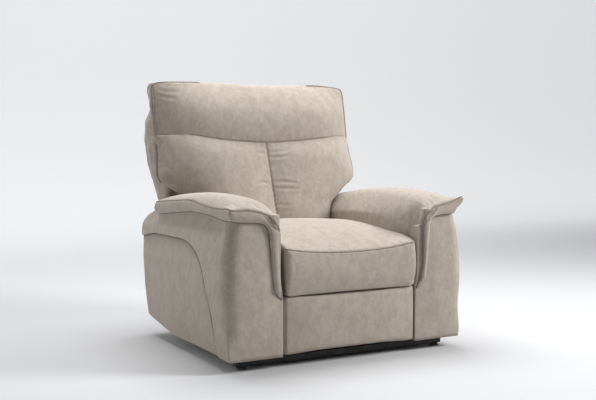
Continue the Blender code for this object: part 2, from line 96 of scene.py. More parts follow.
def curve_table(value, rows):
    """As table, but through a smooth curve."""
    count = len(rows)
    if value <= rows[0][0]:
        return rows[0][1]
    if value >= rows[-1][0]:
        return rows[-1][1]
    k = max(i for i in range(count) if rows[i][0] <= value)
    k = min(k, count - 2)
    span = rows[k + 1][0] - rows[k][0]
    t = (value - rows[k][0]) / span

    def slope(i):
        a, b = rows[max(i - 1, 0)], rows[min(i + 1, count - 1)]
        return (b[1] - a[1]) / (b[0] - a[0])

    h = t * t * (3 - 2 * t)
    start, end = rows[k][1], rows[k + 1][1]
    bend = t * (1 - t) ** 2 * slope(k) * span - t * t * (1 - t) * slope(k + 1) * span
    return lerp(start, end, h) + bend


def round_off(distance, radius):
    """How far a surface has fallen at a distance inside its edge, for a rounding of that radius."""
    if distance >= radius:
        return 0.0
    gap = radius - max(distance, 0.0)
    return radius - sqrt(max(radius * radius - gap * gap, 0.0))


def ripple(point, size, strength):
    """Soft uneven stuffing: a smooth wave of a size in metres."""
    return strength * noise.noise(Vector(point) / size)


def leaned(x, forward, up):
    """A point of the reclined back: forward from its leaning line, up along it."""
    return Vector((
        x,
        BACK_PIVOT.y - forward * cos(LEAN) + up * sin(LEAN),
        BACK_PIVOT.z + forward * sin(LEAN) + up * cos(LEAN),
    ))


# ---------------------------------------------------------------- meshes

def dense_box(cells):
    """A closed box from -1 to 1, cut into small faces."""
    bm = bmesh.new()
    bmesh.ops.create_cube(bm, size=2.0)
    for axis, count in enumerate(cells):
        along = [
            edge for edge in bm.edges
            if abs(edge.verts[0].co[axis] - edge.verts[1].co[axis]) > 1.0
        ]
        bmesh.ops.subdivide_edges(bm, edges=along, cuts=count - 1, use_grid_fill=True)
    return bm


def shape(bm, place):
    for vert in bm.verts:
        vert.co = place(*vert.co)
    bmesh.ops.recalc_face_normals(bm, faces=bm.faces)
    bm.normal_update()


def make_object(name, bm, material):
    """A smooth-shaded object from a bmesh, with its place in its mesh."""
    mesh = bpy.data.meshes.new(name)
    bm.to_mesh(mesh)
    bm.free()
    for face in mesh.polygons:
        face.use_smooth = True
    mesh.materials.append(material)
    obj = bpy.data.objects.new(name, mesh)
    bpy.context.scene.collection.objects.link(obj)
    return obj


def bake(obj):
    """Makes the object's modifiers part of its mesh."""
    bpy.context.view_layer.update()
    graph = bpy.context.evaluated_depsgraph_get()
    mesh = bpy.data.meshes.new_from_object(obj.evaluated_get(graph))
    old = obj.data
    obj.modifiers.clear()
    obj.data = mesh
    bpy.data.meshes.remove(old)
    mesh.name = obj.name


def remesh(obj, voxel):
    modifier = obj.modifiers.new("even_faces", "REMESH")
    modifier.mode = "VOXEL"
    modifier.voxel_size = voxel
    modifier.use_smooth_shade = True
    bake(obj)


def relax(obj, rounds):
    bm = bmesh.new()
    bm.from_mesh(obj.data)
    for _ in range(rounds):
        bmesh.ops.smooth_vert(
            bm, verts=bm.verts, factor=0.5, use_axis_x=True, use_axis_y=True, use_axis_z=True)
    bm.to_mesh(obj.data)
    bm.free()


def soft_form(name, cells, place, material, voxel, rounds):
    """A closed form of even faces: a dense box put in place, remeshed and relaxed."""
    bm = dense_box(cells)
    shape(bm, place)
    obj = make_object(name, bm, material)
    remesh(obj, voxel)
    relax(obj, rounds)
    return obj


def resample(points, step=LINE_STEP):
    """Evenly spaced points along a smooth line through the given ones."""
    pts = [Vector(p) for p in points]
    fine = []
    last = len(pts) - 1
    for i in range(last):
        p1, p2 = pts[i], pts[i + 1]
        p0 = pts[i - 1] if i > 0 else p1 - (p2 - p1)
        p3 = pts[i + 2] if i + 1 < last else p2 + (p2 - p1)
        cuts = max(int((p2 - p1).length / step), 1)
        for k in range(cuts):
            t = k / cuts
            fine.append(0.5 * (
                2 * p1 + (p2 - p0) * t + (2 * p0 - 5 * p1 + 4 * p2 - p3) * t * t
                + (3 * p1 - p0 - 3 * p2 + p3) * t ** 3))
    fine.append(pts[-1])
    return fine


class SeamLines:
    """Seams as dense points, to ask how near a place is to one and how far along."""

    def __init__(self, lines):
        self.points = [p for line in lines for p in resample(line)]
        self.tree = KDTree(len(self.points))
        for index, point in enumerate(self.points):
            self.tree.insert(point, index)
        self.tree.balance()

    def near(self, place):
        point, index, distance = self.tree.find(place)
        return point, index * LINE_STEP, distance


def stitch(obj, lines, width=0.005, depth=0.003, pucker=0.0015, reach=0.022, pitch=0.013):
    """Pulls the cover in along its seams, gathers it beside them and paints shade into the seams through
    the mesh's seam attribute.
    """
    seams = SeamLines(lines)
    mesh = obj.data
    painted_seam_shade = mesh.attributes.get("seam") or mesh.attributes.new("seam", "FLOAT", "POINT")
    normals = [v.normal.copy() for v in mesh.vertices]
    for vert, normal in zip(mesh.vertices, normals):
        _, along, distance = seams.near(vert.co)
        if distance > reach * 2.2:
            continue
        close = exp(-(distance / width) ** 2)
        wide = exp(-(distance / reach) ** 2) - close
        folds = noise.noise(Vector((along / pitch, distance / (reach * 2.5), 3.7)))
        vert.co -= normal * (depth * close - pucker * max(wide, 0.0) * folds)
        # Painted shade: the seam attribute darkens the cover's colour in each seam.
        painted_seam_shade.data[vert.index].value = max(painted_seam_shade.data[vert.index].value, close)


def crease(obj, lines, width, depth):
    """Presses folds into the cover that fade out at both ends."""
    mesh = obj.data
    body = KDTree(len(mesh.vertices))
    for vert in mesh.vertices:
        body.insert(vert.co, vert.index)
    body.balance()
    normals = [v.normal.copy() for v in mesh.vertices]
    places = [v.co.copy() for v in mesh.vertices]
    for line in lines:
        points = resample(line)
        tree = KDTree(len(points))
        for index, point in enumerate(points):
            tree.insert(point, index)
        tree.balance()
        span = (points[-1] - points[0]).length
        middle = (points[0] + points[-1]) / 2
        for _, number, _ in body.find_range(middle, span / 2 + width * 4):
            _, index, distance = tree.find(places[number])
            if distance < width * 3:
                fade = sin(pi * clamp(index / len(points))) ** 0.6
                valley = exp(-(distance / width) ** 2)
                ridge = exp(-((distance - width * 1.6) / width) ** 2)
                wave = valley - 0.55 * ridge
                mesh.vertices[number].co -= normals[number] * depth * fade * wave


def inflate(obj, lines, cap):
    """Fills the cover: its seams hold while the panels between them swell."""
    mesh = obj.data
    start = [v.co.copy() for v in mesh.vertices]
    seams = SeamLines(lines)
    pins = obj.vertex_groups.new(name="held")
    held = [v.index for v in mesh.vertices if seams.near(v.co)[2] < SEAM_HOLD]
    pins.add(held, 1.0, "REPLACE")
    cloth = obj.modifiers.new("cloth", "CLOTH")
    settings = cloth.settings
    settings.quality = 4
    settings.mass = 0.3
    settings.tension_stiffness = 12
    settings.compression_stiffness = 12
    settings.shear_stiffness = 5
    settings.bending_stiffness = 0.6
    settings.use_pressure = True
    settings.uniform_pressure_force = chosen().filling
    settings.effector_weights.gravity = 0
    settings.vertex_group_mass = "held"
    cloth.collision_settings.use_collision = False
    cloth.point_cache.frame_start = 1
    cloth.point_cache.frame_end = CLOTH_FRAMES
    scene = bpy.context.scene
    for number in range(1, CLOTH_FRAMES + 1):
        scene.frame_set(number)
    bake(obj)
    scene.frame_set(1)
    for vert, origin in zip(obj.data.vertices, start):
        move = vert.co - origin
        if move.length > cap:
            vert.co = origin + move.normalized() * cap
    obj.vertex_groups.clear()


def refine(obj):
    modifier = obj.modifiers.new("finer", "SUBSURF")
    modifier.levels = 1
    modifier.render_levels = 1
    bake(obj)


def tube(name, points, material, radius=None):
    """A thin covered cord along a seam, as thick as the chosen welt unless a radius is given."""
    line = bpy.data.curves.new(name, "CURVE")
    line.dimensions = "3D"
    line.bevel_depth = radius or round(chosen().welt_radius, 6)
    line.bevel_resolution = 3
    line.use_fill_caps = True
    spline = line.splines.new("POLY")
    fine = resample(points, step=0.004)
    spline.points.add(len(fine) - 1)
    for target, point in zip(spline.points, fine):
        target.co = (*point, 1.0)
    maker = bpy.data.objects.new(name, line)
    bpy.context.scene.collection.objects.link(maker)
    bpy.context.view_layer.update()
    mesh = bpy.data.meshes.new_from_object(maker)
    bpy.data.objects.remove(maker)
    bpy.data.curves.remove(line)
    bm = bmesh.new()
    bm.from_mesh(mesh)
    bmesh.ops.remove_doubles(bm, verts=bm.verts, dist=0.00002)
    bmesh.ops.recalc_face_normals(bm, faces=bm.faces)
    bpy.data.meshes.remove(mesh)
    return make_object(name, bm, material)


def snapped(obj, points, lift=0.0, step=0.006):
    """The line moved onto the cover's surface."""
    placed = []
    for point in resample(points, step=step):
        found, spot, normal, _ = obj.closest_point_on_mesh(point)
        placed.append(spot + normal * lift if found else point)
    return placed


def finish_cover(obj, body, nodes=()):
    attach(obj, body)
    if nodes:
        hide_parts(*nodes)


def cord(name, points, material, body, radius=None):
    """A cord that rides on a body."""
    obj = tube(name, points, material, radius)
    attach(obj, body)


def welt(name, obj, points, material, body, lift=0.0008, radius=None):
    """A cord laid on the cover's surface, riding on the cover's body; it makes the welts and also the thin
    dark cords of painted shade.
    """
    cord(name, snapped(obj, points, lift), material, body, radius)


# ---------------------------------------------------------------- shader maths

class Wire:
    """A shader value that is added, subtracted and multiplied like a number."""

    def __init__(self, tree, socket):
        self.tree = tree
        self.socket = socket

    def math(self, operation, first, second):
        return make_node(self.tree, "ShaderNodeMath", {"operation": operation}, [first, second])

    def __add__(self, other):
        return self.math("ADD", self, other)

    def __radd__(self, other):
        return self.math("ADD", other, self)

    def __sub__(self, other):
        return self.math("SUBTRACT", self, other)

    def __rsub__(self, other):
        return self.math("SUBTRACT", other, self)

    def __mul__(self, other):
        return self.math("MULTIPLY", self, other)

    def __rmul__(self, other):
        return self.math("MULTIPLY", other, self)


def feed(tree, socket, value):
    if isinstance(value, Wire):
        tree.links.new(value.socket, socket)
    elif value is not None:
        socket.default_value = value


def make_node(tree, kind, settings=None, values=(), output=0):
    """Adds a node: its type and settings first, then its values or links by name or number."""
    node = tree.nodes.new(kind)
    for key, value in (settings or {}).items():
        setattr(node, key, value)
    pairs = values.items() if isinstance(values, dict) else enumerate(values)
    for key, value in pairs:
        feed(tree, node.inputs[key], value)
    return Wire(tree, node.outputs[output])


def colour_mix(tree, share, first, second):
    return make_node(
        tree, "ShaderNodeMix", {"data_type": "RGBA"}, {0: share, 6: first, 7: second}, output=2)


def new_material(name, constants):
    """A material with one Principled BSDF whose own sockets hold its constants."""
    material = bpy.data.materials.new(name)
    material.use_nodes = True
    tree = material.node_tree
    shader = tree.nodes["Principled BSDF"]
    for key, value in constants.items():
        shader.inputs[key].default_value = value
    return material, tree, shader


def object_place(tree, scale=(1.0, 1.0, 1.0)):
    coordinates = make_node(tree, "ShaderNodeTexCoord", output=3)
    return make_node(tree, "ShaderNodeMapping", {}, {"Vector": coordinates, "Scale": scale})


def noise_value(tree, place, scale, detail=2.0, rough=0.5, distortion=0.0):
    return make_node(tree, "ShaderNodeTexNoise", {}, {
        "Vector": place, "Scale": scale, "Detail": detail, "Roughness": rough,
        "Distortion": distortion})


def spread(tree, value, low, high):
    """The value stretched so that low gives 0 and high gives 1."""
    return make_node(tree, "ShaderNodeMapRange", {"interpolation_type": "SMOOTHSTEP"}, {
        "Value": value, "From Min": low, "From Max": high, "To Min": 0.0, "To Max": 1.0})


def add_bump(tree, shader, height, strength, distance):
    bump = make_node(tree, "ShaderNodeBump", {}, {
        "Strength": strength, "Distance": distance, "Height": height})
    tree.links.new(bump.socket, shader.inputs["Normal"])


def suede_material(name, dark, light, seam_shade_and_welt_colour):
    material, tree, shader = new_material(name, {
        "Roughness": 0.93, "Sheen Weight": 0.22, "Sheen Roughness": 0.45,
        "Specular IOR Level": 0.18})
    place = object_place(tree)
    stretched = object_place(tree, scale=(1.3, 1.3, 0.85))
    clouds = noise_value(tree, stretched, 20.0, detail=5.0, rough=0.66, distortion=0.3)
    brushed = noise_value(tree, stretched, 70.0, detail=3.0, rough=0.65)
    fibres = noise_value(tree, place, 900.0, detail=2.0, rough=0.7)
    mottle = spread(tree, clouds * 0.62 + brushed * 0.38, 0.36, 0.64)
    nap = mottle * 0.82 + fibres * 0.18
    base = colour_mix(tree, nap, dark, light)
    # Painted shade: the seam attribute darkens the suede towards the seam tone along every seam.
    seam = make_node(tree, "ShaderNodeAttribute", {"attribute_name": "seam"}, output=2)
    colour = colour_mix(tree, seam * 0.62, base, seam_shade_and_welt_colour)
    tree.links.new(colour.socket, shader.inputs["Base Color"])
    add_bump(tree, shader, fibres * 0.35 + brushed * 0.65, 0.35, 0.0012)
    return material


# Makes the welts' material and also the material of the dark cords of painted shade.
def welt_and_shade_cord_material(name, dark, light):
    material, tree, shader = new_material(name, {"Roughness": 0.9, "Sheen Weight": 0.15})
    place = object_place(tree)
    fine = noise_value(tree, place, 160.0, detail=3.0)
    colour = colour_mix(tree, fine, dark, light)
    tree.links.new(colour.socket, shader.inputs["Base Color"])
    add_bump(tree, shader, noise_value(tree, place, 420.0, detail=2.0), 0.5, 0.0006)
    return material


def metal_material(name, colour, worn, roughness, metallic):
    material, tree, shader = new_material(name, {"Metallic": metallic})
    place = object_place(tree)
    clouds = noise_value(tree, place, 35.0, detail=4.0)
    grain = noise_value(tree, place, 420.0, detail=2.0)
    tint = colour_mix(tree, spread(tree, clouds, 0.4, 0.7) * 0.5, colour, worn)
    tree.links.new(tint.socket, shader.inputs["Base Color"])
    rough = roughness + clouds * 0.12
    tree.links.new(rough.socket, shader.inputs["Roughness"])
    add_bump(tree, shader, grain, 0.15, 0.0003)
    return material


def timber_material(name, pale, dark):
    material, tree, shader = new_material(name, {"Roughness": 0.62})
    place = object_place(tree, scale=(2.0, 22.0, 22.0))
    rings = noise_value(tree, place, 2.4, detail=5.0, rough=0.6, distortion=1.4)
    pores = noise_value(tree, place, 40.0, detail=2.0)
    grain = spread(tree, rings, 0.38, 0.66)
    colour = colour_mix(tree, grain * 0.8 + pores * 0.2, pale, dark)
    tree.links.new(colour.socket, shader.inputs["Base Color"])
    add_bump(tree, shader, rings * 0.7 + pores * 0.3, 0.2, 0.0006)
    return material


def webbing_material(name, pale, dark):
    material, tree, shader = new_material(name, {"Roughness": 0.9})
    place = object_place(tree)
    weave = make_node(tree, "ShaderNodeTexChecker", {}, {
        "Vector": place, "Scale": 340.0}, output=1)
    fray = noise_value(tree, place, 60.0, detail=3.0)
    colour = colour_mix(tree, weave * 0.6 + fray * 0.4, pale, dark)
    tree.links.new(colour.socket, shader.inputs["Base Color"])
    add_bump(tree, shader, weave, 0.3, 0.0008)
    return material


def plastic_material(name, colour):
    material, tree, shader = new_material(name, {"Base Color": colour})
    grain = noise_value(tree, object_place(tree), 700.0, detail=2.0)
    rough = 0.42 + grain * 0.16
    tree.links.new(rough.socket, shader.inputs["Roughness"])
    add_bump(tree, shader, grain, 0.2, 0.0003)
    return material


# ---------------------------------------------------------------- seat

SEAT_FOOT = 0.253


def seat_front_edge(x, half):
    """Height of the seat's front welt above the border's foot line."""
    share = clamp(abs(x) / half)
    return lerp(0.399, 0.424, share ** 2.4)


def seat_top(x, y, front, half):
    """Height of the seat's crowned top."""
    welt_height = seat_front_edge(x, half)
    inward = clamp((y - front) / 0.33)
    crown = 0.492 - 0.018 * clamp((y - front - 0.33) / 0.24)
    rise = (crown - welt_height) * (1 - (1 - inward) ** 2.3)
    side = clamp((half - abs(x)) / 0.19)
    fall = 0.034 * (1 - side) ** 2.2 * ease(inward * 1.6)
    return welt_height + rise - fall


def build_seat(settings):
    low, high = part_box("seat_cushion")
    half = high.x + 0.001
    front = low.y - round(chosen().seat_overhang, 6)
    rear = high.y + 0.012

    def place(a, b, c):
        x = a * half
        deep = (b + 1) / 2
        y = lerp(front, rear, deep)
        top = seat_top(x, y, front, high.x)
        under = SEAT_FOOT + 0.075 * ease((y - front - 0.05) / 0.06)
        corner = round_off(half - abs(x), 0.022) * (1 - ease((y - front) / 0.06))
        under += corner + 0.002 * (1 - (x / half) ** 2) * (1 - ease((y - front) / 0.08))
        z = lerp(under, top, (c + 1) / 2)
        belly = (1 - c * c)
        y -= 0.012 * belly * clamp(-b)
        y += round_off(half - abs(x), 0.020) * clamp(-b) * 0.6
        x *= 1 + 0.010 * belly
        return Vector((x, y, z))

    cover = soft_form("seat_cover", (70, 70, 26), place, settings.suede, 0.0065, 3)
    inner = half - 0.004
    front_welt = [
        (inner * t, front + 0.003, seat_front_edge(inner * t, high.x) + 0.001)
        for t in [k / 10 - 1 for k in range(21)]
    ]
    side_welts = []
    for side in (-1, 1):
        side_welts.append([
            (side * inner, front + 0.004 + step, seat_top(side * inner, front + step, front, high.x))
            for step in (0.0, 0.03, 0.08, 0.16, 0.26, 0.36, 0.46, 0.54)
        ])
    foot_line = [(inner * t, front + 0.012, SEAT_FOOT + 0.003) for t in (-1, -0.5, 0, 0.5, 1)]
    inflate(cover, [front_welt, *side_welts, foot_line], cap=0.012)
    refine(cover)
    stitch(cover, [front_welt, *side_welts], width=0.0045, depth=0.0028, pucker=0.0018)
    crease(cover, [
        [(-inner, front + 0.02, 0.41), (-inner + 0.03, front - 0.004, 0.36), (-inner + 0.02, front, 0.31)],
        [(-0.10, front + 0.30, 0.48), (0.02, front + 0.24, 0.485), (0.14, front + 0.27, 0.482)],
    ], width=0.009, depth=0.0018)
    finish_cover(cover, "chair", ["seat_cushion"])
    welt("seat_welt_front", cover, front_welt, settings.welt, "chair")
    for name, line in zip(("right", "left"), side_welts):
        welt("seat_welt_" + name, cover, line, settings.welt, "chair")


# ---------------------------------------------------------------- footrest

def build_footrest(settings):
    low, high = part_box("footrest_pad")
    half = high.x + 0.002
    mid = (low.z + high.z) / 2
    tall = (high.z - low.z) / 2
    deep = (high.y - low.y) / 2
    middle = (high.y + low.y) / 2
    radius = 0.012

    def place(a, b, c):
        x, y, z = a * half, b * deep, c * tall
        inner = Vector((
            clamp(x, radius - half, half - radius),
            clamp(y, radius - deep, deep - radius),
            clamp(z, radius - tall, tall - radius)))
        out = Vector((x, y, z)) - inner
        point = inner + out.normalized() * radius if out.length > 1e-6 else inner
        puff = (1 - (a * a) ** 2) * (1 - (c * c) ** 2)
        point.y -= 0.006 * puff * clamp(-b)
        return Vector((point.x, middle + point.y, mid + point.z))

    cover = soft_form("footrest_cover", (90, 10, 36), place, settings.suede, 0.0055, 2)
    edge = half - 0.006
    rim = [
        [(side * edge, low.y + 0.003, low.z + 0.006 + k * (2 * tall - 0.012) / 6) for k in range(7)]
        for side in (-1, 1)
    ]
    inflate(cover, rim, cap=0.006)
    refine(cover)
    seam = [(-edge + 0.003, low.y, low.z + 0.004 + k * (2 * tall - 0.008) / 6) for k in range(7)]
    stitch(cover, [seam], width=0.0025, depth=0.0012, pucker=0.0008)
    finish_cover(cover, "footrest", ["footrest_pad"])
    welt("footrest_welt", cover, seam, settings.welt, "footrest", lift=0.0002, radius=0.0015)


# ---------------------------------------------------------------- arms

ARC = [
    (0.869, 0.412), (0.845, 0.411), (0.760, 0.425), (0.676, 0.431), (0.529, 0.433),
    (0.371, 0.430), (0.267, 0.396), (0.204, 0.346), (0.169, 0.289), (0.126, 0.206),
    (0.110, 0.137), (0.094, 0.040),
]
ARM_LOWER_REAR = [(0.543, 0.040), (0.774, 0.073), (0.815, 0.083), (0.845, 0.188), (0.866, 0.320)]
ARM_UPPER_REAR = [(0.868, 0.440), (0.856, 0.472), (0.832, 0.497), (0.789, 0.514), (0.720, 0.524)]


def arc_line():
    """The side seam as (distance from the front, height), smoothed."""
    points = resample([(0.0, y, z) for y, z in ARC], step=0.012)
    return [(p.y, p.z) for p in points]


def slab_from_outline(outline, front, inner_x, outer_x):
    """A slab with the side outline (distance from the front, height), from inner to outer x."""
    bm = bmesh.new()
    verts = [bm.verts.new((inner_x, front + y, z)) for y, z in outline]
    face = bm.faces.new(verts)
    grown = bmesh.ops.extrude_face_region(bm, geom=[face])
    moved = [item for item in grown["geom"] if isinstance(item, bmesh.types.BMVert)]
    bmesh.ops.translate(bm, verts=moved, vec=(outer_x - inner_x, 0, 0))
    bmesh.ops.recalc_face_normals(bm, faces=bm.faces)
    return bm


def lattice(bm, axis, step):
    """Cuts flat faces into strips so that they can bow."""
    bmesh.ops.triangulate(bm, faces=[face for face in bm.faces if len(face.verts) > 4])
    normal = Vector((0, 0, 0))
    normal[axis] = 1
    low = min(v.co[axis] for v in bm.verts)
    high = max(v.co[axis] for v in bm.verts)
    count = int((high - low) / step)
    for k in range(1, count):
        spot = Vector((0, 0, 0))
        spot[axis] = lerp(low, high, k / count) + 0.00013
        geometry = list(bm.verts) + list(bm.edges) + list(bm.faces)
        bmesh.ops.bisect_plane(bm, geom=geometry, dist=0.00005, plane_co=spot, plane_no=normal)


def bevel_where(bm, test, offset, segments):
    bmesh.ops.bevel(
        bm, geom=[edge for edge in bm.edges if test(edge)], offset=offset, offset_type="OFFSET",
        segments=segments, profile=0.5, affect="EDGES", material=-1, clamp_overlap=True)


CORNER_RADIUS = 0.05
PANEL_INSET = 0.005


def arm_bow(side, low, high):
    """How an arm's outer side swells between floor and pillow."""
    inner, outer = low.x, high.x
    if side < 0:
        inner, outer = high.x, low.x
    span = abs(outer - inner)

    middle_x = outer - side * CORNER_RADIUS
    middle_y = low.y + CORNER_RADIUS

    def move(point):
        share = abs(point.x - inner) / span
        height = clamp((point.z - low.z) / (high.z - low.z))
        across = side * (point.x - middle_x)
        ahead = middle_y - point.y
        if across > 0 and ahead > 0:
            pull = (hypot(across, ahead) / max(across, ahead)) ** (1 - ease(height / 0.30))
            point.x = middle_x + side * across * pull
            point.y = middle_y - ahead * pull
        frontward = 1 - ease((point.y - low.y) / 0.75)
        belly = sin(pi * clamp(height * 1.04))
        bow = lerp(0.006, 0.024, frontward) * belly ** 0.8 * ease((share - 0.4) / 0.6)
        near_top = ease((height - 0.84) / 0.16)
        bow -= lerp(0.006, 0.022, ease((point.y - low.y) / 0.16)) * near_top * ease((share - 0.6) / 0.4)
        point.x += side * bow
        swell = 0.011 * belly * (1 - ease((point.y - low.y) / 0.16))
        point.y -= swell * ease(share / 0.5)
        at_top = ease((height - 0.93) / 0.07)
        point.z += 0.012 * at_top * sin(pi * clamp((point.y - low.y) / 0.72)) * ease((share - 0.3) / 0.3)
        point.z -= 0.050 * ease((height - 0.80) / 0.20) * (1 - ease(share / 0.35))
        beside_seat = ease((point.z - 0.245) / 0.07) * (1 - ease((point.y - low.y) / 0.25))
        point.x += side * 0.009 * beside_seat * (1 - clamp(share / 0.25))
        point += Vector((side, 0, 0)) * ripple(point, 0.16, 0.0022) * ease((share - 0.6) / 0.4)
        return point

    return move


def build_arm_cover(side_name, settings):
    side = SIDES[side_name]
    node = "arm_cover_" + side_name
    low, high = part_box(node)
    inner = low.x if side > 0 else high.x
    outer = high.x if side > 0 else low.x
    front = low.y
    move = arm_bow(side, low, high)
    arc = arc_line()
    top_front = (0.0, high.z)
    upper = [(0.0, low.z), *reversed(arc), *ARM_UPPER_REAR, (0.60, high.z), top_front]
    core = [
        (0.062, low.z + 0.001), *ARM_LOWER_REAR, (0.867, 0.405), *ARM_UPPER_REAR,
        (0.60, high.z - 0.004), (0.062, high.z - 0.004),
    ]

    def outer_corner(edge):
        a, b = edge.verts
        upright = abs(a.co.z - b.co.z) > 0.3
        return upright and all(abs(v.co.x - outer) < 0.001 and v.co.y < front + 0.001 for v in (a, b))

    def outer_rim(edge):
        flat = abs(edge.verts[0].co.x - edge.verts[1].co.x)
        sharp = edge.calc_face_angle(0.0) > radians(50)
        return sharp and (flat < 0.001 or edge.verts[0].co.z > high.z - 0.002)

    bm = slab_from_outline(upper, front, inner + side * 0.002, outer)
    bevel_where(bm, outer_corner, CORNER_RADIUS, 10)
    bevel_where(bm, outer_rim, 0.0045, 3)
    lattice(bm, 1, 0.014)
    lattice(bm, 2, 0.014)
    lattice(bm, 0, 0.016)
    for vert in bm.verts:
        vert.co = move(vert.co)
    bmesh.ops.recalc_face_normals(bm, faces=bm.faces)
    upper_cover = make_object("arm_upper_" + side_name, bm, settings.suede)
    bm = slab_from_outline(core, front, inner + side * 0.0035, outer - side * PANEL_INSET)
    bevel_where(bm, lambda edge: edge.calc_face_angle(0.0) > radians(40), 0.009, 3)
    lattice(bm, 1, 0.007)
    lattice(bm, 2, 0.007)
    for vert in bm.verts:
        vert.co = move(vert.co)
    bmesh.ops.recalc_face_normals(bm, faces=bm.faces)
    core_cover = make_object("arm_panel_" + side_name, bm, settings.suede)
    seam = SeamLines([[move(Vector((outer - side * PANEL_INSET, front + y, z))) for y, z in ARC[1:]]])
    # Painted shade on the lower panel: a dark line along the arc seam under the upper cover's edge, with a
    # wider soft darkening around it.
    painted_seam_shade = core_cover.data.attributes.new("seam", "FLOAT", "POINT")
    for vert in core_cover.data.vertices:
        distance = seam.near(vert.co)[2]
        line_shade = 0.75 * exp(-(distance / 0.012) ** 2)
        painted_seam_shade.data[vert.index].value = line_shade + 0.25 * exp(-(distance / 0.03) ** 2)
    # Painted shadow: a thin dark cord just behind the upper cover's edge along the arc seam.
    shadow_line = [
        move(Vector((outer - side * 0.0020, front + y + 0.0022, z - 0.0016))) for y, z in ARC[1:]]
    cord("arm_painted_shadow_line_" + side_name, shadow_line, settings.shade, "chair", radius=0.0020)
    finish_cover(upper_cover, "chair", [node])
    finish_cover(core_cover, "chair")


# Side profiles of a pillow as (distance behind its front, height), then its front as (width, height).
WELT_HEIGHT = [(0.0, 0.574), (0.10, 0.566), (0.205, 0.570), (0.35, 0.584), (0.48, 0.577), (0.717, 0.560)]
CREST_HEIGHT = [(0.0, 0.590), (0.08, 0.598), (0.21, 0.607), (0.34, 0.608), (0.47, 0.601), (0.58, 0.592),
                (0.73, 0.574)]
BAND_FOOT = [(0.0, 0.517), (0.068, 0.524), (0.187, 0.535), (0.35, 0.537), (0.684, 0.508), (0.74, 0.505)]
FRONT_WELT = [(0.296, 0.420), (0.302, 0.455), (0.310, 0.482), (0.320, 0.504), (0.335, 0.524),
              (0.353, 0.539), (0.385, 0.552), (0.42, 0.560), (0.457, 0.566), (0.495, 0.576)]
FRONT_FOOT = [(0.296, 0.30), (0.335, 0.44), (0.348, 0.495), (0.366, 0.511), (0.40, 0.517), (0.495, 0.520)]
PILLOW_LENGTH = 0.722
PILLOW_OUT = 0.493
STRIP_FOOT = 0.236
STRIP_INNER = [(0.236, 0.285), (0.26, 0.291), (0.281, 0.296), (0.351, 0.300), (0.53, 0.301)]
STRIP_OUTER = [(0.236, 0.288), (0.256, 0.312), (0.281, 0.325), (0.33, 0.331), (0.387, 0.337),
               (0.44, 0.341), (0.496, 0.347), (0.53, 0.36)]
# The front tips of the two pillows are stuffed a little differently.
TIP_RISE = {"left": 0.016, "right": -0.008}
TIP_UNDERCUT = {"left": 0.036, "right": 0.014}
TIP_LIFT = {"left": 0.016, "right": 0.004}
TIP_REACH = {"left": 0.006, "right": -0.004}
STRIP_SHIFT = {"left": 0.012, "right": 0.0}

# Gathers where the front turns down into the strip: width, distance ahead of the front, height.
PLEATS = [
    [(0.372, 0.004, 0.548), (0.356, 0.004, 0.530), (0.343, 0.0, 0.512)],
    [(0.350, 0.004, 0.535), (0.338, 0.003, 0.520), (0.330, 0.0, 0.500)],
    [(0.338, 0.003, 0.505), (0.322, 0.002, 0.496), (0.306, 0.0, 0.492)],
]


def pillow_top(x, back, tip_rise):
    """Height of the pillow's top at a width from the middle of the chair and a distance back."""
    welt_height = curve_table(back, WELT_HEIGHT)
    crest = curve_table(back, CREST_HEIGHT)
    outward = clamp((PILLOW_OUT - x) / 0.085)
    body = welt_height + (crest - welt_height) * (1 - (1 - outward) ** 2.2)
    body -= 0.006 * ease((0.42 - x) / 0.1)
    body -= round_off(x - 0.281, 0.095)
    lip = curve_table(x, FRONT_WELT) + tip_rise * ease((x - 0.42) / 0.07)
    depth = clamp(back / 0.115)
    blend = sqrt(max(1 - (1 - depth) ** 2, 0.0))
    height = lerp(lip, max(body, lip if depth < 0.05 else body), blend)
    end = PILLOW_LENGTH - back
    return height - round_off(end, 0.030) * 0.9


def pillow_foot(x, back):
    side_foot = curve_table(back, BAND_FOOT)
    front_foot = table(x, FRONT_FOOT)
    foot = lerp(front_foot, side_foot, ease(back / 0.09) * ease((x - 0.36) / 0.06))
    deep = lerp(0.38, foot, ease((x - 0.300) / 0.03)) if back > 0.03 else foot
    foot = lerp(foot, deep, ease((back - 0.03) / 0.05))
    end = PILLOW_LENGTH - back
    return foot + round_off(end, 0.022) * 0.8


